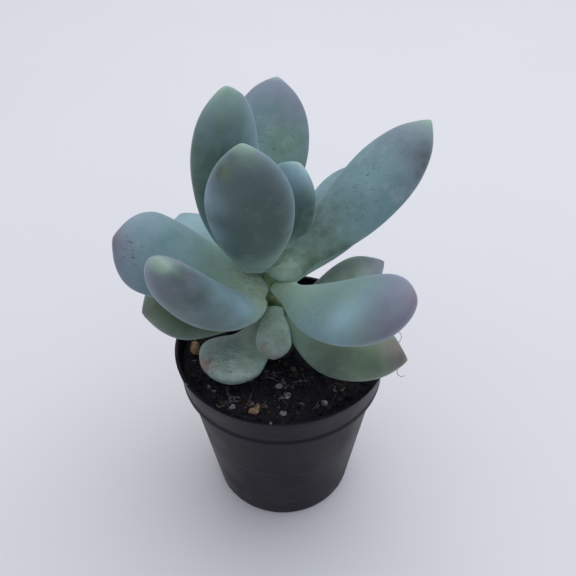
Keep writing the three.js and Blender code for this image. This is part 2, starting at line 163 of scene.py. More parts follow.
LEAVES = [
    Leaf("leaf_front_big", (-4.7, -3.5, 77.6), 268, 61, 36.5, 17.5, 8.6, 22, 16, -16, 0.56, 0.64, 0.25,
         0.5, purple=0.25, green=0.25, specks=0.1, tip="green", fill=0.7, root=-2),
    Leaf("leaf_crown_left", (-6, -0.6, 75.5), 158, 67, 41.5, 20.5, 8, 35, -1, -23, 0.49, 0.54, 0.4, 0.9,
         purple=0.25, green=0.55, specks=0.1, tip="green", fill=1.1),
    Leaf("leaf_crown_back", (-1.3, 3.5, 78), 99, 46, 39.8, 18.8, 8, 0, 15, -24, 0.62, 0.61, 0.3, 0.7,
         purple=0.75, green=0.35, specks=0.6),
    Leaf("leaf_crown_young", (0, -0.4, 81), 4, 83.5, 20, 14.8, 6.5, -11, 45, -1, 0.49, 0.62, 0.39, 0.4,
         purple=0.1, green=0.45, specks=0.1),
    Leaf("leaf_bud", (1.6, 2.4, 79), 50, 62, 8, 4.2, 3.4, 6, 0, 0, 0.5, 0.7, 0.35, 0.3,
         purple=0.1, green=0.7, specks=0),
    Leaf("leaf_right_long", (3, 0, 73.2), 25, 37, 45.5, 16.5, 9, 2, 22, 7, 0.59, 0.64, 0.42, 1.0,
         purple=0.8, green=0.4, specks=0.9, tip="green", fill=1.2, base=(-2.4, -1.8, 2.0), flare=1.5,
         draw_in=-0.8),
    Leaf("leaf_right_behind", (2, 2.5, 69), 48, 16, 36, 18, 9, 23, 9, 0, 0.66, 0.6, 0.3, 0.8,
         purple=0.3, green=0.6, specks=0.5),
    Leaf("leaf_left_curled", (-7.3, -5.4, 66.2), 232, 31, 33.8, 19.5, 10.6, 35, 13, -21, 0.54, 0.48, 0.42,
         0.4, purple=0.8, green=0.35, specks=0.3, tip="green", under=1.1, fill=0.8, root=2,
         base=(-0.8, 0, 0.8), flare=1.2, inward=0.25),
    Leaf("leaf_left_big", (-6.4, -1.6, 66.1), 181, 33.5, 35.5, 19.5, 8.3, 0, -34, 8, 0.75, 0.64, 0.5, 0.3,
         purple=0.6, green=0.4, specks=0.6, tip="purple", fill=1.2, base=(0.2, -1, 2.5), flare=1.2,
         inward=0.5),
    Leaf("leaf_left_behind", (-1.8, 2, 72.3), 135, -14, 38, 19.3, 8, 18, 15, -7, 0.59, 0.6, 0.4, 0.8,
         purple=0.2, green=0.3, specks=0.2),
    Leaf("leaf_left_low", (-3.6, 0.6, 61.8), 187, 15, 29.8, 20, 8, -10, -12, 18, 0.66, 0.59, 0.5, 0.6,
         purple=0.2, green=0.9, specks=0.3, tip="purple", tone="olive"),
    # Its under of 3.4 makes its lower face much lighter, painted light on a leaf in the shade of those
    # above
    Leaf("leaf_soil_left", (-3.5, -3.5, 52), 208, -10, 17.8, 18, 7.5, 32, 7, -4, 0.61, 0.56, 0.6, 0.3,
         purple=0.2, green=0.5, specks=0.7, tip="brown", tone="sage", under=3.4, fill=1.1,
         base=(-1, 0, 2.5)),
    # Its under of 3.2 makes its lower face much lighter, painted light on a leaf in the shade of those
    # above
    Leaf("leaf_front_stub", (-1.8, -2, 63.3), 269, -30, 13, 8.4, 8, 8, -2, 2, 0.72, 0.64, 0.5, 0.3,
         purple=0.1, green=0.5, specks=0.4, tip="brown", tone="sage", under=3.2, base=(0, -1.6, 0.4),
         flare=0.2, inward=0.35),
    Leaf("leaf_right_front", (-0.6, -3.1, 70.8), 301, 7, 39.3, 18.2, 8.4, 33, 16, 35, 0.69, 0.57, 0.24,
         0.3, purple=0.9, green=0.45, specks=0.4, tip="purple", fill=1.3, base=(0.9, -0.3, 0.9),
         flare=1.1, inward=0.6, draw_in=1.7),
    Leaf("leaf_right_mid", (4, 0.8, 58.9), 26, 18, 24.5, 12.8, 9, 2, 4, -8, 0.68, 0.68, 0.32, 1.2,
         purple=0.5, green=0.4, specks=0.2, tip="purple", tone="sage"),
    Leaf("leaf_right_rim", (3, -2.7, 59.3), 321, 0, 29, 18.9, 9.8, -3, 17, 22, 0.47, 0.72, 0.42, 0.6,
         purple=0.25, green=0.6, specks=0.6, tip="brown", tone="olive", under=0.9),
    Leaf("leaf_back_low", (-1, 3, 61), 112, -6, 27, 16, 9, 10, 0, 0, 0.62, 0.6, 0.3, 0.6,
         purple=0.3, green=0.7, specks=0.3, tip="brown", tone="sage"),
    Leaf("leaf_back_mid", (0.5, 3.2, 66.5), 80, 0, 27, 15, 7, 8, 0, 0, 0.62, 0.6, 0.3, 0.6,
         purple=0.3, green=0.5, specks=0.3, tip="purple"),
]

# Marks on the leaves: kind, share along the leaf, degrees round it, reach in millimetres and strength.
# Looking along the leaf from its foot, 0 degrees is its left edge, 90 its upper face and 180 its
# right edge. scuff is where the bloom is rubbed and chalk a broken crust. shade is painted shade and
# painted shadow, pale is paler bloom and mint a pale green, and on some leaves pale and mint are
# painted highlight and painted light. The others are colours.
MARKS = {
    # Shade on its lower face is painted shade, and the pale marks at 200 to 205 degrees a painted
    # highlight on its lit edge
    "leaf_front_big": [
        ("mint", 0.99, 290, 3.5, 0.4), ("shade", 0.88, 268, 5, 0.3), ("shade", 0.72, 268, 9, 0.3),
        ("dark", 0.9, 215, 0.8, 0.5), ("green", 0.9, 225, 1.5, 0.9), ("dark", 0.88, 210, 0.6, 0.6),
        ("pale", 0.72, 205, 4, 0.6), ("pale", 0.5, 200, 4, 0.6)],
    # The shade marks paint the shaded hollow down the middle of its face
    "leaf_crown_left": [
        ("green", 0.72, 25, 6, 0.6), ("green", 0.55, 10, 6, 0.6), ("mint", 0.98, 72, 5, 0.8),
        ("shade", 0.86, 74, 4.5, 0.9), ("shade", 0.72, 66, 6, 1), ("shade", 0.55, 54, 7, 0.9)],
    # The shade mark darkens its middle as painted shade
    "leaf_crown_back": [
        ("green", 0.55, 118, 6, 0.6), ("scuff", 0.58, 112, 7, 0.8), ("purple", 0.85, 142, 4, 0.5),
        ("purple", 0.9, 95, 6, 0.15), ("shade", 0.7, 108, 8, 0.25)],
    # The pale marks by its tip are a painted highlight on its lit top, and the shade marks painted shade
    # low on its right side
    "leaf_crown_young": [
        ("pale", 0.97, 95, 5, 1), ("pale", 0.8, 70, 6, 0.7), ("shade", 0.62, 150, 5, 0.9),
        ("shade", 0.42, 158, 6, 0.9), ("green", 0.5, 176, 3, 0.6)],
    # The shade marks paint shade in the crook by its foot and a shaded band along its lower edge there
    "leaf_right_long": [
        ("purple", 0.92, 105, 6, 0.25), ("purple", 0.82, 145, 4, 0.7), ("purple", 0.72, 165, 4, 0.5),
        ("dark", 0.9, 130, 1.0, 0.5), ("dark", 0.86, 148, 1.1, 0.6), ("dark", 0.81, 155, 1.1, 0.6),
        ("dark", 0.76, 157, 1.0, 0.5), ("shade", 0.84, 146, 3.5, 0.45), ("scuff", 0.83, 145, 5, 0.9),
        ("scuff", 0.56, 80, 7, 0.8), ("mint", 0.99, 70, 4, 0.8), ("scuff", 0.45, 90, 7, 0.9),
        ("shade", 0.24, 78, 7, 0.9), ("base", 0.02, 110, 2, 0.9), ("shade", 0.06, 172, 2, 0.8),
        ("shade", 0.12, 178, 2.4, 0.95), ("shade", 0.19, 180, 2.6, 0.95), ("shade", 0.26, 180, 2.8, 0.9),
        ("green", 0.14, 170, 4, 0.9), ("green", 0.22, 168, 3, 0.7), ("chalk", 0.03, 100, 4, 0.8),
        ("pale", 0.6, 60, 8, 0.3)],
    "leaf_right_behind": [
        ("pale", 0.7, 40, 6, 0.8), ("scuff", 0.6, 60, 4, 0.5)],
    # The shade marks are painted shade on its lower face and by its tip, and the pale ones painted
    # highlights along its edges
    "leaf_left_curled": [
        ("mint", 0.99, 50, 2.6, 0.8), ("purple", 0.93, 20, 4, 1), ("shade", 0.95, 14, 3, 0.95),
        ("shade", 0.88, 352, 4, 0.5), ("base", 0.02, 70, 5, 1), ("shade", 0.79, 346, 6, 0.8),
        ("shade", 0.66, 348, 6, 0.6), ("pale", 0.48, 0, 5, 0.5), ("pale", 0.65, 40, 5, 0.8),
        ("pale", 0.45, 30, 5, 0.8), ("scuff", 0.36, 60, 5, 0.8), ("mint", 0.1, 60, 6, 0.9),
        ("chalk", 0.12, 60, 7, 0.8)],
    # The pale and mint marks lighten it as painted light where the leaves above shade it
    "leaf_left_big": [
        ("purple", 0.97, 46, 4, 0.6), ("scuff", 0.9, 70, 5, 0.9), ("pale", 0.72, 120, 8, 0.6),
        ("pale", 0.5, 98, 9, 1), ("mint", 0.3, 98, 9, 1), ("mint", 0.1, 100, 9, 1),
        ("base", 0.04, 95, 6, 1), ("scuff", 0.08, 100, 6, 0.6), ("green", 0.04, 118, 1.5, 0.7),
        ("chalk", 0.08, 100, 7, 1), ("chalk", 0.25, 95, 5, 0.5)],
    "leaf_left_behind": [
        ("pale", 0.75, 70, 10, 0.7), ("pale", 0.5, 60, 9, 0.5)],
    "leaf_left_low": [
        ("green", 0.9, 72, 5, 0.7), ("dark", 0.6, 40, 9, 0.45)],
    "leaf_soil_left": [
        ("brown", 0.97, 40, 2.2, 0.9), ("scuff", 0.65, 70, 9, 0.9), ("chalk", 0.6, 80, 8, 0.9),
        ("pale", 0.7, 110, 5, 0.2)],
    # The shade by its tip is painted shade
    "leaf_front_stub": [
        ("scuff", 0.5, 100, 5, 0.9), ("chalk", 0.4, 90, 6, 0.7), ("brown", 0.9, 160, 2, 0.6),
        ("shade", 0.95, 100, 3, 0.5)],
    # The pale mark on its belly is a painted reflection of the bright room
    "leaf_right_front": [
        ("pale", 0.67, 118, 6, 0.95), ("purple", 0.91, 148, 6, 0.75), ("purple", 0.98, 100, 5, 0.5),
        ("dark", 0.3, 80, 0.4, 0.9), ("scuff", 0.38, 145, 6, 0.6), ("green", 0.6, 78, 6, 0.4),
        ("mint", 0.26, 112, 8, 0.9), ("base", 0.03, 95, 4, 0.8), ("chalk", 0.05, 95, 4, 0.7),
        ("green", 0.8, 165, 5, 0.4)],
    "leaf_right_mid": [
        ("purple", 0.95, 130, 3, 0.6), ("scuff", 0.6, 100, 6, 0.4)],
    # The shade marks are painted shade on its lower side and by its tip
    "leaf_right_rim": [
        ("green", 0.8, 130, 4.5, 0.9), ("green", 0.74, 136, 4, 0.8), ("brown", 0.95, 98, 4, 0.9),
        ("purple", 0.97, 100, 4, 0.5), ("dark", 0.97, 112, 1.6, 0.5), ("shade", 0.92, 120, 2.5, 0.6),
        ("shade", 0.78, 134, 3.5, 0.65), ("shade", 0.98, 100, 3, 0.6), ("scuff", 0.7, 120, 7, 0.5),
        ("shade", 0.5, 168, 6, 0.8), ("shade", 0.34, 150, 6, 0.5)],
}


@dataclass
class Grain:
    """A loose grain lying on the soil: place, half sizes and turn."""
    node: str
    at: tuple
    half: tuple
    turn: float
    slot: str


GRAINS = [
    Grain("gravel_wall", (-22.6, 0.6), (1.6, 2.5, 1.9), 10, "gravel"),
    Grain("gravel_front", (-6.6, -19.8), (1.7, 1.2, 1.1), 25, "gravel"),
    Grain("perlite_front_left", (-12.1, -18.6), (0.9, 0.75, 0.7), 40, "perlite"),
    Grain("perlite_right", (10, -18), (1.0, 0.8, 0.75), 0, "perlite"),
    Grain("perlite_middle", (-0.8, -12.2), (0.8, 1.1, 0.7), 60, "perlite"),
    Grain("perlite_centre", (1.2, -15.8), (1.1, 0.8, 0.7), 15, "perlite"),
    Grain("perlite_front", (0.1, -21.2), (0.75, 0.85, 0.6), 80, "perlite"),
    Grain("perlite_back", (-9, 14), (1.0, 0.8, 0.75), 30, "perlite"),
]


def portion(value, low, high):
    """How far value is from low to high, from 0 to 1."""
    return min(max((value - low) / (high - low), 0), 1)


def smoothstep(value, low, high):
    share = portion(value, low, high)
    return share * share * (3 - 2 * share)


def seeded_random(seed):
    """The source's own generator, so that the soil's lumps fall in the same places."""
    state = seed

    def draw():
        nonlocal state
        state = (state + 0x6D2B79F5) & 0xFFFFFFFF
        mixed = ((state ^ (state >> 15)) * (1 | state)) & 0xFFFFFFFF
        mixed = ((mixed + ((mixed ^ (mixed >> 7)) * (61 | mixed) & 0xFFFFFFFF)) & 0xFFFFFFFF) ^ mixed
        return ((mixed ^ (mixed >> 14)) & 0xFFFFFFFF) / 2 ** 32

    return draw


def stem_axis(height):
    """How far the stem's middle leans to the side at a height."""
    return STEM_LEAN * smoothstep(height, SOIL_LEVEL, STEM_TIP)


def polar(radius, angle):
    return radius * cos(angle), radius * sin(angle)


def ring_points(radius, height, sides):
    """A level ring of points round the pot's axis."""
    return [(*polar(radius, 2 * pi * side / sides), height) for side in range(sides)]


def add_object(name, data):
    made = bpy.data.objects.new(name, data)
    bpy.context.scene.collection.objects.link(made)
    return made


def add_piece(name, vertices, faces, material, slot, nodes=(), values=None):
    """A mesh piece in metres from points in millimetres, riding on the plant's one body."""
    mesh = bpy.data.meshes.new(name)
    mesh.from_pydata((np.asarray(vertices, dtype=float) * MM).tolist(), [], faces)
    mesh.polygons.foreach_set("use_smooth", [True] * len(mesh.polygons))
    for attribute, numbers in (values or {}).items():
        mesh.attributes.new(attribute, "FLOAT", "POINT").data.foreach_set("value", np.ravel(numbers))
    mesh.materials.append(material)
    piece = add_object(name, mesh)
    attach(piece, BODY)
    if nodes:
        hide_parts(*nodes)
    return piece


def grid_faces(rows, sides):
    """Quads between rings of points, and a fan to one more point at each end."""
    faces = []
    for row in range(rows - 1):
        for side in range(sides):
            after = (side + 1) % sides
            faces.append((row * sides + side, row * sides + after,
                          (row + 1) * sides + after, (row + 1) * sides + side))
    first, last = rows * sides, rows * sides + 1
    top = (rows - 1) * sides
    for side in range(sides):
        after = (side + 1) % sides
        faces.append((first, after, side))
        faces.append((last, top + side, top + after))
    return faces


# Shader building. A helper that is given a socket builds in that socket's own tree.

def new_material(name):
    material = bpy.data.materials.new(name)
    material.use_nodes = True
    tree = material.node_tree
    return material, tree, tree.nodes["Principled BSDF"]


def set_inputs(node, inputs):
    """Sets a node's inputs, each to a value or to another node's socket."""
    for key, value in inputs.items():
        if isinstance(value, bpy.types.NodeSocket):
            node.id_data.links.new(value, node.inputs[key])
        else:
            node.inputs[key].default_value = value


def put(tree, kind, inputs, **settings):
    """The outputs of a new node with these settings and inputs."""
    node = tree.nodes.new("ShaderNode" + kind)
    for key, value in settings.items():
        setattr(node, key, value)
    set_inputs(node, inputs)
    return node.outputs


def axes_of(tree, kind):
    """The X, Y and Z of a coordinate, such as Object or Generated."""
    return put(tree, "SeparateXYZ", {"Vector": put(tree, "TexCoord", {})[kind]})


def scaled_place(tree, scale=(1, 1, 1), shift=0.0):
    """The object's own coordinates, stretched, and shifted to a fresh part of a noise."""
    place = put(tree, "TexCoord", {})["Object"]
    inputs = {"Vector": place, "Scale": scale, "Location": (shift, 0.7 * shift, -shift)}
    return put(tree, "Mapping", inputs)["Vector"]


def noise_value(vector, scale, detail=3.0, rough=0.5):
    inputs = {"Vector": vector, "Scale": scale, "Detail": detail, "Roughness": rough}
    return put(vector.id_data, "TexNoise", inputs)["Fac"]


def ramp(value, low, high, bottom=0.0, top=1.0):
    """Value from low to high, smoothly spread over bottom to top."""
    inputs = {"Value": value, "From Min": low, "From Max": high, "To Min": bottom, "To Max": top}
    return put(value.id_data, "MapRange", inputs, interpolation_type="SMOOTHSTEP")["Result"]


def times(first, second):
    return put(first.id_data, "Math", {0: first, 1: second}, operation="MULTIPLY")[0]


def plus(first, second):
    return put(first.id_data, "Math", {0: first, 1: second}, operation="ADD")[0]


def blend(share, first, second):
    """The first colour turned into the second by share. A mix node's colours are sockets 6 and 7."""
    inputs = {0: share}
    for key, colour in ((6, first), (7, second)):
        inputs[key] = colour if isinstance(colour, bpy.types.NodeSocket) else (*colour, 1)
    return put(share.id_data, "Mix", inputs, data_type="RGBA")[2]


def bumped(height, distance, strength):
    inputs = {"Height": height, "Distance": distance, "Strength": strength}
    return put(height.id_data, "Bump", inputs)["Normal"]


def attribute(tree, name):
    return put(tree, "Attribute", {}, attribute_name=name)["Fac"]


# Colours, linear. A pair is mottled from its first colour to its second.
TONES = {
    "blue": ((0.145, 0.26, 0.295), (0.205, 0.34, 0.37)),
    "sage": ((0.32, 0.42, 0.35), (0.46, 0.57, 0.49)),
    "olive": ((0.155, 0.205, 0.14), (0.225, 0.275, 0.19)),
}
# The lower face's colour: thinner bloom, darkened further as painted shade
UNDERSIDE_WITH_SHADE = (0.055, 0.09, 0.082)
SKIN_GREEN = (0.12, 0.205, 0.12)
BASE_GREEN = (0.33, 0.47, 0.37)
LILAC = (0.22, 0.25, 0.33)
POWDER = (0.34, 0.45, 0.46)
RUBBED_DARK = (0.06, 0.10, 0.08)
CHALK = (0.44, 0.56, 0.50)
MARK_COLOURS = {
    # pale is paler bloom, and on the lit edges and faces of some leaves a painted highlight
    "pale": (0.32, 0.50, 0.57),
    "green": (0.15, 0.24, 0.12),
    "purple": (0.17, 0.16, 0.22),
    "brown": (0.24, 0.15, 0.12),
    "dark": (0.035, 0.06, 0.045),
    # shade is painted shade and painted shadow, on shaded faces and under other leaves
    "shade": (0.07, 0.115, 0.095),
    # mint is a pale green, and at the big left leaf's foot it is painted light
    "mint": (0.31, 0.46, 0.38),
    "base": (0.40, 0.50, 0.33),
}
TIP_COLOURS = {
    "pale": (0.36, 0.46, 0.44),
    "green": (0.30, 0.44, 0.34),
    "purple": (0.22, 0.18, 0.23),
    "brown": (0.28, 0.20, 0.16),
}
STEM_GREENS = ((0.15, 0.215, 0.10), (0.25, 0.325, 0.175))
STEM_SCAR = (0.30, 0.27, 0.19)
STEM_LOW = (0.07, 0.06, 0.045)
STEM_CROWN = (0.20, 0.29, 0.22)
PEAT_BLACKS = ((0.010, 0.010, 0.014), (0.030, 0.027, 0.033))
PEAT_BROWN = (0.045, 0.033, 0.031)
PEAT_FLAKE = (0.22, 0.175, 0.18)
PLASTIC_BLACKS = ((0.0055, 0.0042, 0.0075), (0.0095, 0.0075, 0.0125))
PLASTIC_SCUFF = (0.13, 0.125, 0.15)
PLASTIC_DUST = (0.10, 0.08, 0.07)
GRAVEL_TANS = ((0.20, 0.115, 0.06), (0.42, 0.29, 0.17))
PERLITE_GREYS = ((0.14, 0.14, 0.15), (0.42, 0.41, 0.42))
FLOOR_WHITES = ((0.72, 0.72, 0.745), (0.77, 0.77, 0.785))
ROOM_LEFT = (0.93, 0.93, 1)
ROOM_RIGHT = (0.78, 0.86, 1)
LAMP_WHITE = (1.0, 0.97, 0.91)

# Heights in metres between which a colour comes in, the first of them downwards
LOW_STEM = (0.064, 0.056)
CROWN_STEM = (0.072, 0.0755)
DUSTY_POT = (0.040, 0.0495)


def leaf_bloom(tree, leaf, number, soft, cloudy):
    """Waxy bloom on green skin, darker below by thinner bloom and painted shade, green at the foot, lilac
    at tip and margin.
    """
    body = blend(ramp(soft, 0.3, 0.75), *TONES[leaf.tone])
    # The lower face turns to a darker colour: a thinner bloom, and painted shade
    under = tuple(leaf.under * part for part in UNDERSIDE_WITH_SHADE)
    body = blend(ramp(attribute(tree, "upper"), 0.3, -0.8, 0.0, 0.95), body, under)
    aged = times(ramp(cloudy, 0.35, 0.75), 0.7 * leaf.green)
    body = blend(aged, body, SKIN_GREEN)
    patchy = noise_value(scaled_place(tree, shift=0.03 + 0.011 * number), 210, 6, 0.66)
    patches = 0.1 + 0.3 * leaf.specks
    body = blend(ramp(patchy, 0.52, 0.66, 0.0, patches), body, POWDER)
    body = blend(ramp(patchy, 0.46, 0.34, 0.0, patches), body, SKIN_GREEN)
    reach = plus(attribute(tree, "along"), ramp(soft, 0.2, 0.8, -0.12, 0.12))
    foot = times(ramp(reach, 0.5, 0.02), min(1, 0.45 + leaf.green))
    body = blend(foot, body, BASE_GREEN)
    flush = times(ramp(reach, 0.66, 1), leaf.purple)
    edge = times(attribute(tree, "margin"), ramp(reach, 0.35, 0.9))
    lilac = plus(flush, times(edge, 0.7 * leaf.purple))
    return blend(lilac, body, LILAC)


def with_marks(tree, leaf, number, body, cloudy):
    """The skin with the leaf's marks, painted shade and highlights among them, its broken chalky crust and
    tip.
    """
    uneven = ramp(cloudy, 0.3, 0.7, 0.65, 1.1)
    kinds = {mark[0] for mark in MARKS.get(leaf.node, ())}
    for kind, colour in MARK_COLOURS.items():
        if kind in kinds:
            body = blend(times(attribute(tree, kind), uneven), body, colour)
    chalky = noise_value(scaled_place(tree, (1, 1.6, 1), 0.017 * number), 420, 6, 0.62)
    crust = times(ramp(chalky, 0.5, 0.58), attribute(tree, "chalk"))
    body = blend(crust, body, CHALK)
    tip = times(ramp(attribute(tree, "along"), 0.965, 0.998), 0.7)
    return blend(tip, body, TIP_COLOURS[leaf.tip])


def rubbed_off(tree, leaf, number, place):
    """How far the bloom is rubbed off, in specks and strokes, where the leaf is scuffed."""
    worn = ramp(noise_value(place, 150, 2), 0.55, 0.75, 0.0, 0.5 * leaf.specks)
    scuffed = plus(attribute(tree, "scuff"), worn)
    drawn_out = scaled_place(tree, (1, 2.2, 1.2), 0.02 * number)
    specks = ramp(noise_value(drawn_out, 760, 3, 0.6), 0.6, 0.69)
    strokes = ramp(noise_value(drawn_out, 620, 6, 0.7), 0.55, 0.72)
    return times(scuffed, plus(times(specks, 0.85), times(strokes, 0.5)))


def leaf_material(leaf, number):
    """A leaf's skin. Its number shifts the noises, so that no two leaves look alike."""
    material, tree, shader = new_material(leaf.node + "_skin")
    place = scaled_place(tree, shift=0.013 * number)
    soft = noise_value(place, 90, 2)
    cloudy = noise_value(place, 320, 4, 0.55)
    body = leaf_bloom(tree, leaf, number, soft, cloudy)
    body = with_marks(tree, leaf, number, body, cloudy)
    rubbed = rubbed_off(tree, leaf, number, place)
    grain = noise_value(place, 1800, 3)
    relief = plus(plus(times(grain, 0.4), cloudy), times(rubbed, -1.2))
    set_inputs(shader, {
        "Base Color": blend(rubbed, body, RUBBED_DARK),
        "Roughness": ramp(cloudy, 0.25, 0.8, 0.48, 0.66),
        "Normal": bumped(relief, 0.00012, 0.5),
        "Subsurface Weight": 0.12,
        "Subsurface Radius": (0.5, 1.0, 0.45),
        "Subsurface Scale": 0.002,
        "Sheen Weight": 0.32,
        "Sheen Roughness": 0.4,
        "Sheen Tint": (0.78, 0.92, 1.0, 1),
        "Specular IOR Level": 0.35,
    })
    return material


def stem_material():
    """Pale green stem, tan on the scars, darker brown near the soil, greyer green in the crown."""
    material, tree, shader = new_material("stem_skin")
    mottle = noise_value(scaled_place(tree), 600, 4)
    height = axes_of(tree, "Object")["Z"]
    colour = blend(ramp(mottle, 0.35, 0.7), *STEM_GREENS)
    colour = blend(times(attribute(tree, "scar"), 0.6), colour, STEM_SCAR)
    colour = blend(ramp(height, *LOW_STEM), colour, STEM_LOW)
    colour = blend(ramp(height, *CROWN_STEM), colour, STEM_CROWN)
    set_inputs(shader, {
        "Base Color": colour,
        "Roughness": ramp(mottle, 0.3, 0.7, 0.5, 0.75),
        "Normal": bumped(mottle, 0.0002, 0.6),
        "Subsurface Weight": 0.1,
        "Subsurface Scale": 0.001,
    })
    return material


def soil_material(name):
    """Damp peat: near black, with brown crumbs and pale flakes by each crumb's own shade."""
    material, tree, shader = new_material(name)
    shade = attribute(tree, "shade")
    fine = noise_value(scaled_place(tree), 1500, 4, 0.6)
    colour = blend(ramp(fine, 0.35, 0.7), *PEAT_BLACKS)
    colour = blend(ramp(shade, 0.62, 0.86), colour, PEAT_BROWN)
    colour = blend(ramp(shade, 0.955, 0.975), colour, PEAT_FLAKE)
    set_inputs(shader, {
        "Base Color": colour,
        "Roughness": ramp(fine, 0.3, 0.7, 0.75, 0.98),
        "Normal": bumped(fine, 0.0004, 0.8),
        "Specular IOR Level": 0.25,
    })
    return material


def pot_material():
    """Thin moulded black plastic: satin, with faint level scuffs, and peat dust below the rim."""
    material, tree, shader = new_material("pot_plastic")
    place = scaled_place(tree)
    level = noise_value(scaled_place(tree, (1, 1, 26)), 26, 4, 0.6)
    cloud = noise_value(place, 70, 4)
    scuff = times(ramp(level, 0.6, 0.7), ramp(cloud, 0.4, 0.6))
    specks = ramp(noise_value(place, 900, 3), 0.6, 0.72)
    dust = times(specks, ramp(cloud, 0.4, 0.7))
    near_rim = ramp(axes_of(tree, "Object")["Z"], *DUSTY_POT)
    dusty = times(dust, plus(times(near_rim, 0.5), 0.2))
    colour = blend(ramp(cloud, 0.3, 0.7), *PLASTIC_BLACKS)
    colour = blend(times(scuff, 0.3), colour, PLASTIC_SCUFF)
    relief = plus(noise_value(place, 1400, 2), level)
    set_inputs(shader, {
        "Base Color": blend(dusty, colour, PLASTIC_DUST),
        "Roughness": plus(ramp(cloud, 0.3, 0.7, 0.36, 0.5), times(dust, 0.2)),
        "Normal": bumped(relief, 0.00005, 0.5),
        "Specular IOR Level": 0.17,
        "Specular Tint": (0.95, 0.84, 1.0, 1),
    })
    return material


def grain_material(name, dull, light, pores):
    """A dusty mineral grain with pores, darkened as painted shade in the pits, and a mottled face."""
    material, tree, shader = new_material(name)
    place = scaled_place(tree)
    mottle = noise_value(place, 1100, 5, 0.6)
    cells = put(tree, "TexVoronoi", {"Vector": place, "Scale": pores})["Distance"]
    colour = blend(ramp(mottle, 0.3, 0.7), dull, light)
    set_inputs(shader, {
        # The pores are darkened: painted shade in the pits
        "Base Color": blend(ramp(cells, 0.25, 0.05), colour, tuple(0.4 * c for c in dull)),
        "Roughness": ramp(mottle, 0.3, 0.7, 0.75, 0.95),
        "Normal": bumped(plus(cells, mottle), 0.00025, 0.7),
    })
    return material


# The leaves

def leaf_direction(leaf, along):
    up = radians(leaf.rise + leaf.curl * max(along, 0))
    turn = radians(leaf.azimuth + leaf.swing * max(along, 0))
    return np.array([cos(up) * cos(turn), cos(up) * sin(turn), sin(up)])


def leaf_centreline(leaf):
    """Places along the centreline from foot to tip, each a step on in the leaf's direction."""
    places = [np.array(leaf.foot)]
    for i in range(LINE_STEPS):
        ahead = leaf_direction(leaf, (i + 0.5) / LINE_STEPS)
        places.append(places[-1] + ahead * leaf.length / LINE_STEPS)
    return np.array(places)


def leaf_rows(leaf):
    """Shares along the leaf, closer together at the tip, led by those inside the stem."""
    reach = hypot(leaf.foot[0] - stem_axis(leaf.foot[2]), leaf.foot[1])
    start = -reach / leaf.length
    back = [start * (1 - i / ROOT_ROWS) for i in range(ROOT_ROWS)]
    ahead = LEAF_ROWS - ROOT_ROWS
    shares = [i / ahead for i in range(ahead)]
    return back + [0.45 * share + 0.55 * sin(share * pi / 2) for share in shares]


def leaf_section():
    """Angles round a leaf, and how high each lies as a share of the half thickness."""
    angles = np.linspace(0, 2 * pi, LEAF_SIDES, endpoint=False)
    sine = np.sin(angles)
    lift = np.sign(sine) * np.abs(sine) ** EDGE_SHARPNESS
    return angles, lift * np.where(sine > 0, UPPER_SHARE, LOWER_SHARE)


LEAF_ANGLES, LEAF_LIFT = leaf_section()


def leaf_axes(leaf, along):
    """Directions towards a leaf's left edge, out of its upper face and along it."""
    ahead = leaf_direction(leaf, along)
    turn = radians(leaf.azimuth + leaf.swing * max(along, 0))
    side = np.array([-sin(turn), cos(turn), 0.0])
    up = np.cross(ahead, side)
    twist = radians(leaf.twist)
    across = side * cos(twist) + up * sin(twist)
    above = up * cos(twist) - side * sin(twist)
    return across, above, ahead


def leaf_half_sizes(leaf, along, start):
    """Half breadth and half thickness, flared at the foot and less inside the stem."""
    swell = sin(portion(along, 0, leaf.broadest) * pi / 2) ** leaf.fill
    past = portion(along, leaf.broadest, 1)
    neck_thick = min(1, NECK_FULLNESS * leaf.neck)
    wide = leaf.width / 2 * (leaf.neck + (1 - leaf.neck) * swell) * (1 - past ** 2.2) ** leaf.blunt
    thick = leaf.thick / 2 * (neck_thick + (1 - neck_thick) * swell) * (1 - past ** 2.4) ** 0.5
    wide += leaf.flare * (1 - smoothstep(along, 0, FLARE_REACH))
    if along < 0:
        shrink = SCAR_SHARE + (1 - SCAR_SHARE) * sqrt(max(0, 1 - (along / start) ** 2))
        wide, thick = wide * shrink, thick * shrink
    return wide, thick


def ring_centre(leaf, line, root, along, start):
    """A ring's centre, on the centreline or between the foot and the root inside the stem."""
    if along < 0:
        centre = line[0] + (root - line[0]) * leaf.inward * along / start
    else:
        whole = min(int(along * LINE_STEPS), LINE_STEPS - 1)
        centre = line[whole] + (line[whole + 1] - line[whole]) * (along * LINE_STEPS - whole)
    return centre + np.array(leaf.base) * (1 - smoothstep(along, 0, BASE_REACH))


def leaf_ring(leaf, number, centre, along, start):
    """One ring of points, gently uneven, and drawn out to a small point at the tip."""
    across, above, ahead = leaf_axes(leaf, along)
    wide, thick = leaf_half_sizes(leaf, along, start)
    waist = leaf.draw_in * exp(-((along - WAIST_AT) / WAIST_REACH) ** 2)
    ring = []
    for angle, lift in zip(LEAF_ANGLES, LEAF_LIFT):
        breadth = wide - waist * max(0, cos(angle))
        offset = across * breadth * cos(angle) + above * thick * lift
        away = np.linalg.norm(offset)
        out = offset / away if away > 1e-6 else offset
        spot = Vector((centre + offset) * UNEVEN_SCALE) + Vector((number * 3.1, 0, 0))
        unevenness = UNEVEN_HEIGHT * noise.noise(spot) * min(1, away / 3)
        peak = leaf.point * max(0, 1 - away / TIP_REACH) ** 1.5 * smoothstep(along, 0.85, 1)
        ring.append(centre + offset + out * unevenness + ahead * peak)
    return ring


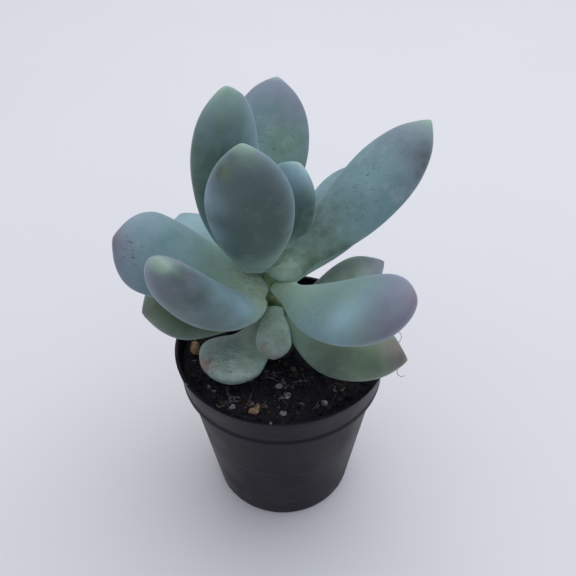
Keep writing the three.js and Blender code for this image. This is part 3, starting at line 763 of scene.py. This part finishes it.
def mark_values(leaf, rows, points):
    """How strongly each kind of mark shows at each point, fading with distance."""
    values = {kind: np.zeros(len(points)) for kind in (*MARK_COLOURS, "scuff", "chalk")}
    for kind, along, degrees, reach, strength in MARKS.get(leaf.node, ()):
        row = int(np.argmin(np.abs(np.array(rows) - along)))
        side = round(degrees / 360 * LEAF_SIDES) % LEAF_SIDES
        away = np.linalg.norm(points - points[row * LEAF_SIDES + side], axis=1)
        values[kind] = np.maximum(values[kind], strength * np.exp(-((away / reach) ** 2)))
    return values


def leaf_values(leaf, rows, points):
    """What the skin's colours go by at each point of a leaf."""
    margin = [abs(cos(angle)) ** 5 for angle in LEAF_ANGLES]
    upper = [sin(angle) for angle in LEAF_ANGLES]
    return {
        "along": [max(along, 0) for along in rows for _ in LEAF_ANGLES] + [0, 1],
        "margin": margin * len(rows) + [0, 0],
        "upper": upper * len(rows) + [0, 0],
        **mark_values(leaf, rows, points),
    }


def make_leaf(leaf, number):
    """Rings from inside the stem to the tip, with a point closing each end."""
    line = leaf_centreline(leaf)
    root_height = leaf.foot[2] + leaf.root
    root = np.array([stem_axis(root_height), 0, root_height])
    rows = leaf_rows(leaf)
    points = []
    for along in rows:
        centre = ring_centre(leaf, line, root, along, rows[0])
        points.extend(leaf_ring(leaf, number, centre, along, rows[0]))
    points.append(line[0] + (root - line[0]) * leaf.inward + np.array(leaf.base))
    points.append(line[-1] + leaf_direction(leaf, 1) * leaf.point)
    slot = "leaf_green" if leaf.foot[2] < GREEN_BELOW else "leaf_blue"
    add_piece(leaf.node + "_fine", points, grid_faces(len(rows), LEAF_SIDES),
              leaf_material(leaf, number), slot, [leaf.node], leaf_values(leaf, rows, np.array(points)))


# The stem, with raised leaf scars wound up it by the golden angle. A scar's reach is in millimetres
# up the stem and in radians round it.
FIRST_SCAR = 47.5
SCAR_PITCH = 1.9
SCAR_COUNT = 12
GOLDEN_ANGLE = 137.5
SCAR_REACH = (1.1, 0.55)
SCARS = [(FIRST_SCAR + SCAR_PITCH * i, radians(GOLDEN_ANGLE * i + 20)) for i in range(SCAR_COUNT)]


def stem_radius(height):
    climb = portion(height, ROOT_TIP, STEM_TIP)
    root = smoothstep(climb, 0, 0.3)
    crown = sqrt(1 - portion(climb - 0.82, 0, 0.18) ** 2)
    return (0.9 + 1.9 * root + 0.7 * climb) * crown


def scar_bump(height, angle):
    bump = 0
    for scar_height, scar_angle in SCARS:
        turn = atan2(sin(angle - scar_angle), cos(angle - scar_angle))
        bump += exp(-((height - scar_height) / SCAR_REACH[0]) ** 2 - (turn / SCAR_REACH[1]) ** 2)
    return bump


def make_stem():
    """Rings from the root's tip to the growing tip, with scars and faint ridges."""
    points, scars = [], []
    for row in range(STEM_ROWS):
        climb = sin(row / (STEM_ROWS - 1) * pi / 2) ** 1.2
        height = min(ROOT_TIP + (STEM_TIP - ROOT_TIP) * climb, STEM_TIP - 0.01)
        radius = stem_radius(height)
        fading = min(1, radius)
        for side in range(STEM_SIDES):
            angle = 2 * pi * side / STEM_SIDES
            bump = scar_bump(height, angle)
            ridge = 0.10 * sin(height * 3.1 + 0.5 * sin(angle))
            spot = Vector((*polar(1, angle), height * 0.35)) * 1.7
            relief = 0.35 * bump + ridge + 0.22 * noise.noise(spot)
            x, y = polar(radius + fading * relief, angle)
            points.append((stem_axis(height) + x, y, height))
            scars.append(min(1, bump))
    points.extend([(0, 0, ROOT_TIP - 0.1), (STEM_LEAN, 0, STEM_TIP)])
    scars.extend([0, 0])
    add_piece("stem_fine", points, grid_faces(STEM_ROWS, STEM_SIDES), stem_material(), "stem",
              ["stem"], {"scar": scars})


# The soil's top: its lumps and dips, and how far it may fall and rise from its level
SOIL_SEED = 17
LUMP_COUNT = 46
LUMP_REACH = 23.5
LUMP_HEIGHT = 0.8
DEEPEST_DIP = 1.2
HIGHEST_LUMP = 1.6


def soil_lumps():
    """Place, spread and height of each lump. About a third of them are dips instead."""
    draw = seeded_random(SOIL_SEED)
    lumps = []
    for _ in range(LUMP_COUNT):
        radius = LUMP_REACH * sqrt(draw())
        angle = 2 * pi * draw()
        spread = 1.4 + 1.6 * draw()
        height = LUMP_HEIGHT * (0.5 + 0.8 * draw())
        height *= -0.7 if draw() < 0.35 else 1
        lumps.append((*polar(radius, angle), spread, height))
    return lumps


LUMPS = soil_lumps()


def soil_height(x, y):
    height = SOIL_LEVEL + 0.25 * sin(0.31 * x + 1) * cos(0.27 * y)
    for lump_x, lump_y, spread, lump in LUMPS:
        height += lump * exp(-((x - lump_x) ** 2 + (y - lump_y) ** 2) / spread ** 2)
    return min(max(height, SOIL_LEVEL - DEEPEST_DIP), SOIL_LEVEL + HIGHEST_LUMP)


def inner_radius(height):
    on_collar = height > COLLAR_FOOT
    return BASE_RADIUS + TAPER * height + (COLLAR_STEP if on_collar else 0) - WALL


def make_soil():
    """The peat block: a finely lumped top over plain sides along the pot's inner wall."""
    low_rows = [(FLOOR + GAP, inner_radius(FLOOR) - GAP),
                (COLLAR_FOOT - WALL, inner_radius(COLLAR_FOOT - WALL) - GAP),
                (COLLAR_FOOT + WALL + 0.5, inner_radius(COLLAR_FOOT + WALL) - GAP)]
    points = [point for height, radius in low_rows for point in ring_points(radius, height, SOIL_SIDES)]
    shades = [0.3] * len(points)
    top_radius = inner_radius(SOIL_LEVEL) - 0.05
    for ring in range(SOIL_RINGS):
        radius = top_radius * (1 - ring / SOIL_RINGS)
        edge = min(1, (top_radius - radius) / 2)
        for x, y, _ in ring_points(radius, 0, SOIL_SIDES):
            fine = 0.45 * noise.noise(Vector((x, y, 3)) * 0.9)
            fine += 0.22 * noise.noise(Vector((x, y, 9)) * 2.6)
            lumpy = SOIL_LEVEL + (soil_height(x, y) - SOIL_LEVEL) * edge
            points.append((x, y, lumpy + fine * (0.3 + 0.7 * edge)))
            shades.append(0.5 + 0.5 * noise.noise(Vector((x, y, 5)) * 1.4))
    points.extend([(0, 0, FLOOR + GAP), (0, 0, soil_height(0, 0))])
    shades.extend([0.3, 0.3])
    add_piece("soil_fine", points, grid_faces(SOIL_RINGS + len(low_rows), SOIL_SIDES),
              soil_material("soil_peat"), "soil", ["soil"], {"shade": shades})


# Loose crumbs and fibres on the soil, drawn at random between the stem and the wall, and clumps of
# pale flakes and fibres where the photo shows them
CRUMB_SEED = 404
FIBRE_SEED = 77
LOOSE_REACH = 24.6
WALL_REACH = 24.9
STEM_ROOM = 3.2
FIBRE_ROOM = 3.4
CRUMB_COUNT = 1700
RIM_CRUMB_COUNT = 26
RIM_PATCH_COUNT = 34
FLAKES_PER_CLUMP = 11
FIBRES_PER_CLUMP = 4
LOOSE_FIBRES = 45
FIBRE_STEPS = 11
CLUMPS = [(-3, -8.5), (0.2, -10.5), (1.9, -12.4), (-0.6, -16), (5.7, -11.2), (-11.5, -16.6), (-14.5, -18),
          (-7.8, -18), (-4.9, -19), (4.2, -17.6), (14, -13), (9.4, -18.7)]

# A crumb is its x, y, height, size, squash and shade. One with more than PALE_SHADE is a flake, which
# is more jagged than peat, and a peat crumb larger than LARGE_CRUMB is made from a finer ball.
PALE_SHADE = 0.93
LARGE_CRUMB = 0.45
PEAT_JITTER = 0.45
FLAKE_JITTER = 1.3

# Two hairs at the edge of the leaf over the rim
HAIR_RADIUS = 0.09
RIM_HAIRS = [
    [(27.2, -16.6, 58.2), (26.8, -17.2, 57.2), (26.6, -17.5, 56), (27.0, -17.6, 54.9), (27.8, -17.5, 54.2),
     (28.6, -17.3, 54.3)],
    [(26.2, -9.9, 59.7), (26.7, -9.9, 60.9), (27.3, -10.2, 61.8), (27.9, -10.9, 61.9), (28.1, -11.7, 61.2),
     (27.3, -12.3, 59.9)],
]


def icosphere(level):
    build = bmesh.new()
    bmesh.ops.create_icosphere(build, subdivisions=level, radius=1)
    points = np.array([v.co[:] for v in build.verts])
    faces = [tuple(v.index for v in f.verts) for f in build.faces]
    build.free()
    return points, faces


def add_loose(name, skin, parts):
    """One piece of many loose parts on the soil, each with points, faces and one shade."""
    points, faces, shades = [], [], []
    for made, made_faces, shade in parts:
        start = len(points)
        points.extend(made)
        faces.extend(tuple(i + start for i in face) for face in made_faces)
        shades.extend([shade] * len(made))
    add_piece(name, points, faces, soil_material(skin), "soil", values={"shade": shades})


def clear_of_grains(x, y, room):
    return all(hypot(x - g.at[0], y - g.at[1]) > max(g.half[:2]) + room for g in GRAINS)


def peat_crumbs(draw):
    """Peat crumbs all over the soil, most of them small."""
    for _ in range(CRUMB_COUNT):
        radius = LOOSE_REACH * sqrt(draw())
        angle = 2 * pi * draw()
        size = 0.22 + 0.75 * draw() ** 3
        x, y = polar(radius, angle)
        if radius + size < WALL_REACH and radius > STEM_ROOM and clear_of_grains(x, y, size):
            yield x, y, soil_height(x, y) + 0.3 * size, size, 0.55 + 0.5 * draw(), draw()


def pale_flakes(draw):
    """Flat pale flakes in the clumps."""
    for clump_x, clump_y in CLUMPS:
        for _ in range(FLAKES_PER_CLUMP):
            x = clump_x + 2.6 * (draw() - 0.5)
            y = clump_y + 2.2 * (draw() - 0.5)
            size = 0.3 + 0.45 * draw() ** 2
            yield x, y, soil_height(x, y) + 0.35 + 0.3 * draw(), size, 0.3, PALE_SHADE + 0.07 * draw()


def rim_crumbs(draw):
    """Tiny crumbs along the front of the pot's rim, and a dark patch of larger ones at its right."""
    for _ in range(RIM_CRUMB_COUNT):
        angle = radians(190 + 165 * draw())
        radius = RIM_RADIUS - 0.2 - 0.7 * draw()
        size = 0.13 + 0.2 * draw()
        yield *polar(radius, angle), POT_HEIGHT + 0.4 * size, size, 0.8, draw()
    for _ in range(RIM_PATCH_COUNT):
        angle = radians(333 + 18 * draw())
        radius = RIM_RADIUS - 0.1 - 0.8 * draw()
        size = 0.2 + 0.3 * draw() ** 2
        yield *polar(radius, angle), POT_HEIGHT + 0.3 * size, size, 0.9, 0.6 * draw()


def crumb(balls, turn, x, y, height, size, squash, shade):
    """A knobbly lump: a ball pushed in and out by noise, squashed and turned."""
    flake = shade > PALE_SHADE
    ball, faces = balls["fine" if size > LARGE_CRUMB and not flake else "coarse"]
    jagged = FLAKE_JITTER if flake else PEAT_JITTER
    start = Vector((7.7 * size + x, y, shade))
    jitter = np.array([1 + jagged * noise.noise(Vector(p) * 1.3 + start) for p in ball])
    shape = ball * jitter[:, None] * np.array([size, size * (0.6 + 0.5 * shade), size * squash])
    spin = np.array(Matrix.Rotation(turn, 3, (0.3, 0.4, 1)))
    return shape @ spin.T + np.array([x, y, height]), faces, shade


def make_crumbs():
    """The loose crumbs. All their places are drawn before the first of them is turned."""
    draw = seeded_random(CRUMB_SEED)
    places = [*peat_crumbs(draw), *pale_flakes(draw), *rim_crumbs(draw)]
    balls = {"coarse": icosphere(1), "fine": icosphere(2)}
    crumbs = [crumb(balls, 2 * pi * draw(), *place) for place in places]
    add_loose("soil_crumbs", "crumb_peat", crumbs)


def tube_along(path, radius, sides=6):
    """A fibre: rings of points along a path, thinning to half."""
    points = []
    for i, place in enumerate(path):
        before, after = path[max(i - 1, 0)], path[min(i + 1, len(path) - 1)]
        ahead = (after - before) / np.linalg.norm(after - before)
        side = np.cross(ahead, (0, 0, 1))
        side = side / max(np.linalg.norm(side), 1e-6)
        up = np.cross(side, ahead)
        width = radius * (1 - 0.5 * i / len(path))
        for k in range(sides):
            angle = 2 * pi * k / sides
            points.append(place + width * (cos(angle) * side + sin(angle) * up))
    points.extend([path[0], path[-1]])
    return points, grid_faces(len(path), sides)


def fibre_starts(draw):
    """Where fibres begin, and their shades: some anywhere, and pale ones in the clumps."""
    starts = []
    for _ in range(LOOSE_FIBRES):
        radius = 5 + 18 * sqrt(draw())
        angle = 2 * pi * draw()
        starts.append((*polar(radius, angle), 0.7 + 0.3 * draw()))
    for x, y in CLUMPS:
        for _ in range(FIBRES_PER_CLUMP):
            starts.append((x + 2.4 * (draw() - 0.5), y + 2.4 * (draw() - 0.5), 0.9 + 0.1 * draw()))
    return starts


def fibre_path(draw, x, y):
    """A fibre's path, bent over the soil and arched in its middle, and its radius."""
    heading = 2 * pi * draw()
    bend = 5 * (draw() - 0.5)
    length = 1.5 + 3.5 * draw()
    radius = 0.05 + 0.07 * draw()
    path = []
    for i in range(FIBRE_STEPS + 1):
        arch = 0.5 * sin(i / FIBRE_STEPS * pi)
        path.append(np.array([x, y, soil_height(x, y) + 0.35 + arch]))
        x += cos(heading) * length / FIBRE_STEPS
        y += sin(heading) * length / FIBRE_STEPS
        heading += bend / FIBRE_STEPS
    return path, radius


def make_fibres():
    """Fine dead roots curled on the soil, and the hairs at the leaf over the rim."""
    draw = seeded_random(FIBRE_SEED)
    parts = []
    for hair in RIM_HAIRS:
        parts.append((*tube_along(np.array(hair), HAIR_RADIUS), 0.9))
    for x, y, shade in fibre_starts(draw):
        path, radius = fibre_path(draw, x, y)
        if all(FIBRE_ROOM <= hypot(*place[:2]) <= LOOSE_REACH for place in path):
            parts.append((*tube_along(path, radius), shade))
    add_loose("soil_fibres", "fibre_peat", parts)


# The pot

def rounded_outline(corners, arc_steps=6):
    """An outline from (radius, height, rounding) corners, each turned into a small arc."""
    outline = []
    for i, (radius, height, rounding) in enumerate(corners):
        here = np.array([radius, height])
        if rounding == 0:
            outline.append(here)
            continue
        before = np.array(corners[i - 1][:2])
        after = np.array(corners[(i + 1) % len(corners)][:2])
        towards = (before - here) / np.linalg.norm(before - here) * rounding
        onward = (after - here) / np.linalg.norm(after - here) * rounding
        for step in range(arc_steps + 1):
            share = step / arc_steps
            outline.append(here + towards * (1 - share) ** 2 + onward * share ** 2)
    return outline


def spread_outline(outline, longest):
    """The outline with points added, so that no stretch is longer than longest."""
    dense = [outline[0]]
    for point in outline[1:]:
        pieces = max(1, ceil(np.linalg.norm(point - dense[-1]) / longest))
        start = dense[-1]
        dense.extend(start + (point - start) * (k + 1) / pieces for k in range(pieces))
    return dense


def drain_cutter(angle):
    """A round rod through the pot's floor, where a drain hole goes."""
    ends = np.array([(*polar(DRAIN_CIRCLE, angle), height) for height in (-2 * FLOOR, 3 * FLOOR)])
    circle = np.array(ring_points(DRAIN_RADIUS, 0, DRAIN_SIDES))
    points = np.vstack([circle + ends[0], circle + ends[1], ends])
    mesh = bpy.data.meshes.new("drain_cut")
    mesh.from_pydata((points * MM).tolist(), [], grid_faces(2, DRAIN_SIDES))
    return add_object("drain_cut", mesh)


def drill(piece):
    """Cuts the drain holes through the pot's floor."""
    for i in range(DRAIN_COUNT):
        cutter = drain_cutter((i + 0.5) / DRAIN_COUNT * 2 * pi)
        cut = piece.modifiers.new("drain", "BOOLEAN")
        cut.operation = "DIFFERENCE"
        cut.object = cutter
        cut.solver = "EXACT"
        bpy.context.view_layer.update()
        shown = piece.evaluated_get(bpy.context.evaluated_depsgraph_get())
        drilled = bpy.data.meshes.new_from_object(shown)
        piece.modifiers.remove(cut)
        piece.data = drilled
        bpy.data.objects.remove(cutter)


def make_pot():
    """The pot, turned from its outline: out along the base, up outside and down inside."""
    collar_foot_radius = BODY_TOP_RADIUS + COLLAR_STEP
    corners = [
        (BASE_RADIUS, 0, 0.5),
        (BODY_TOP_RADIUS, COLLAR_FOOT, 0.15),
        (collar_foot_radius + BEAD, COLLAR_FOOT, 0.25),
        (collar_foot_radius + BEAD, COLLAR_FOOT + 1.0, 0.3),
        (collar_foot_radius, COLLAR_FOOT + 1.5, 0.3),
        (RIM_RADIUS, POT_HEIGHT, 0.35),
        (RIM_RADIUS - WALL, POT_HEIGHT, 0.3),
        (inner_radius(COLLAR_FOOT + WALL), COLLAR_FOOT + WALL, 0.4),
        (inner_radius(COLLAR_FOOT - WALL), COLLAR_FOOT - WALL, 0.4),
        (inner_radius(FLOOR), FLOOR, 0.4),
    ]
    outline = spread_outline(rounded_outline([(0.5, 0, 0), *corners, (0.5, FLOOR, 0)]), POT_STRETCH)
    points = [point for radius, height in outline for point in ring_points(radius, height, POT_SIDES)]
    points.extend([(0, 0, 0), (0, 0, FLOOR)])
    faces = grid_faces(len(outline), POT_SIDES)
    drill(add_piece("pot_fine", points, faces, pot_material(), "pot", ["pot"]))


# Grains: balls with knobs, fine pits and some faces worn flat
KNOBS = 7
FLATS = 11


def random_way(draw):
    way = np.array([draw() - 0.5, draw() - 0.5, draw() - 0.5])
    return way / np.linalg.norm(way)


def make_grain(grain, material):
    """A knobbly grain, sunk nearly to its middle, with a seed from its own place."""
    draw = seeded_random(round(100 * abs(grain.at[0] + grain.half[0])) + 3)
    knobs = [(random_way(draw), 0.22 * (draw() - 0.45)) for _ in range(KNOBS)]
    ball, faces = icosphere(5)
    swell = 1 + sum(size * np.maximum(0, ball @ way) ** 3 for way, size in knobs)
    pits = [0.10 * noise.noise(Vector(p) * 2.3) + 0.05 * noise.noise(Vector(p) * 6) for p in ball]
    shape = ball * (swell + np.array(pits))[:, None]
    for _ in range(FLATS):
        way = random_way(draw)
        over = np.maximum(0, shape @ way - (0.62 + 0.25 * draw()))
        shape = shape - over[:, None] * way
    turn = np.array(Matrix.Rotation(radians(grain.turn), 3, "Z"))
    middle = soil_height(*grain.at) + 0.3 * grain.half[2]
    points = (shape * np.array(grain.half)) @ turn.T + np.array([*grain.at, middle])
    add_piece(grain.node + "_fine", points, faces, material, grain.slot, [grain.node])


# The room's stand-ins: floor, light and camera, all in metres. The floor lies a hair below the pot.
FLOOR_HALF = 3.0
FLOOR_DROP = 0.0002
LAMP_PLACE = (0.15, 0.32, 0.80)
LAMP_AIM = (0, 0.05, 0.05)
LAMP_WIDTH = 1.2
LAMP_DEPTH = 0.9
LAMP_WATTS = 3.6


def make_floor():
    material, tree, shader = new_material("floor_paint")
    cloud = noise_value(scaled_place(tree), 5, 3)
    set_inputs(shader, {"Base Color": blend(cloud, *FLOOR_WHITES), "Roughness": 0.7})
    mesh = bpy.data.meshes.new("floor")
    corners = [(x * FLOOR_HALF, y * FLOOR_HALF, 0) for x, y in ((-1, -1), (1, -1), (1, 1), (-1, 1))]
    mesh.from_pydata(corners, [], [(0, 1, 2, 3)])
    mesh.materials.append(material)
    floor = add_object("floor", mesh)
    floor.location.z = -FLOOR_DROP


def make_lamp():
    """A broad soft lamp, overhead and behind the plant."""
    light = bpy.data.lights.new("sky_overhead", "AREA")
    light.shape = "RECTANGLE"
    light.size = LAMP_WIDTH
    light.size_y = LAMP_DEPTH
    light.energy = LAMP_WATTS
    light.color = LAMP_WHITE
    lamp = add_object("sky_overhead", light)
    lamp.location = LAMP_PLACE
    lamp.rotation_mode = "QUATERNION"
    lamp.rotation_quaternion = (Vector(LAMP_AIM) - Vector(LAMP_PLACE)).to_track_quat("-Z", "Y")


def make_room():
    """Even light, brightest overhead, a little brighter behind and on the right, and bluer there."""
    world = bpy.data.worlds.new("soft_room")
    bpy.context.scene.world = world
    bpy.context.scene.view_settings.view_transform = "Standard"
    world.use_nodes = True
    tree = world.node_tree
    way = axes_of(tree, "Generated")
    across = ramp(way["X"], -1.0, 1)
    overhead = ramp(way["Z"], -0.1, 0.85, 0.27, 0.82)
    behind = ramp(way["Y"], -0.9, 0.4, -0.04, 0.10)
    aside = ramp(way["X"], -1.0, 1.0, -0.15, 0.12)
    set_inputs(tree.nodes["Background"], {
        "Color": blend(across, ROOM_LEFT, ROOM_RIGHT),
        "Strength": plus(plus(overhead, behind), aside),
    })


def make_camera():
    yaw, pitch, roll = (radians(a) for a in (YAW, PITCH, ROLL))
    ahead = Vector((sin(yaw) * cos(pitch), cos(yaw) * cos(pitch), -sin(pitch)))
    level = Vector((cos(yaw), -sin(yaw), 0))
    upright = level.cross(ahead)
    right = level * cos(roll) + upright * sin(roll)
    up = upright * cos(roll) - level * sin(roll)
    data = bpy.data.cameras.new("photo_view")
    data.sensor_width = SENSOR
    data.lens = FOCAL_PIXELS / FRAME_PIXELS * SENSOR
    data.clip_start = 0.01
    camera = add_object("photo_view", data)
    axes = Matrix((right, up, -ahead)).transposed()
    camera.matrix_world = Matrix.Translation(Vector(EYE) * MM) @ axes.to_4x4()
    bpy.context.scene.camera = camera


make_camera()
make_room()
make_lamp()
make_floor()
for number, leaf in enumerate(LEAVES):
    make_leaf(leaf, number)
make_stem()
make_soil()
make_crumbs()
make_fibres()
make_pot()
stones = {
    "gravel": grain_material("gravel_stone", *GRAVEL_TANS, pores=900),
    "perlite": grain_material("perlite_stone", *PERLITE_GREYS, pores=1100),
}
for grain in GRAINS:
    make_grain(grain, stones[grain.slot])
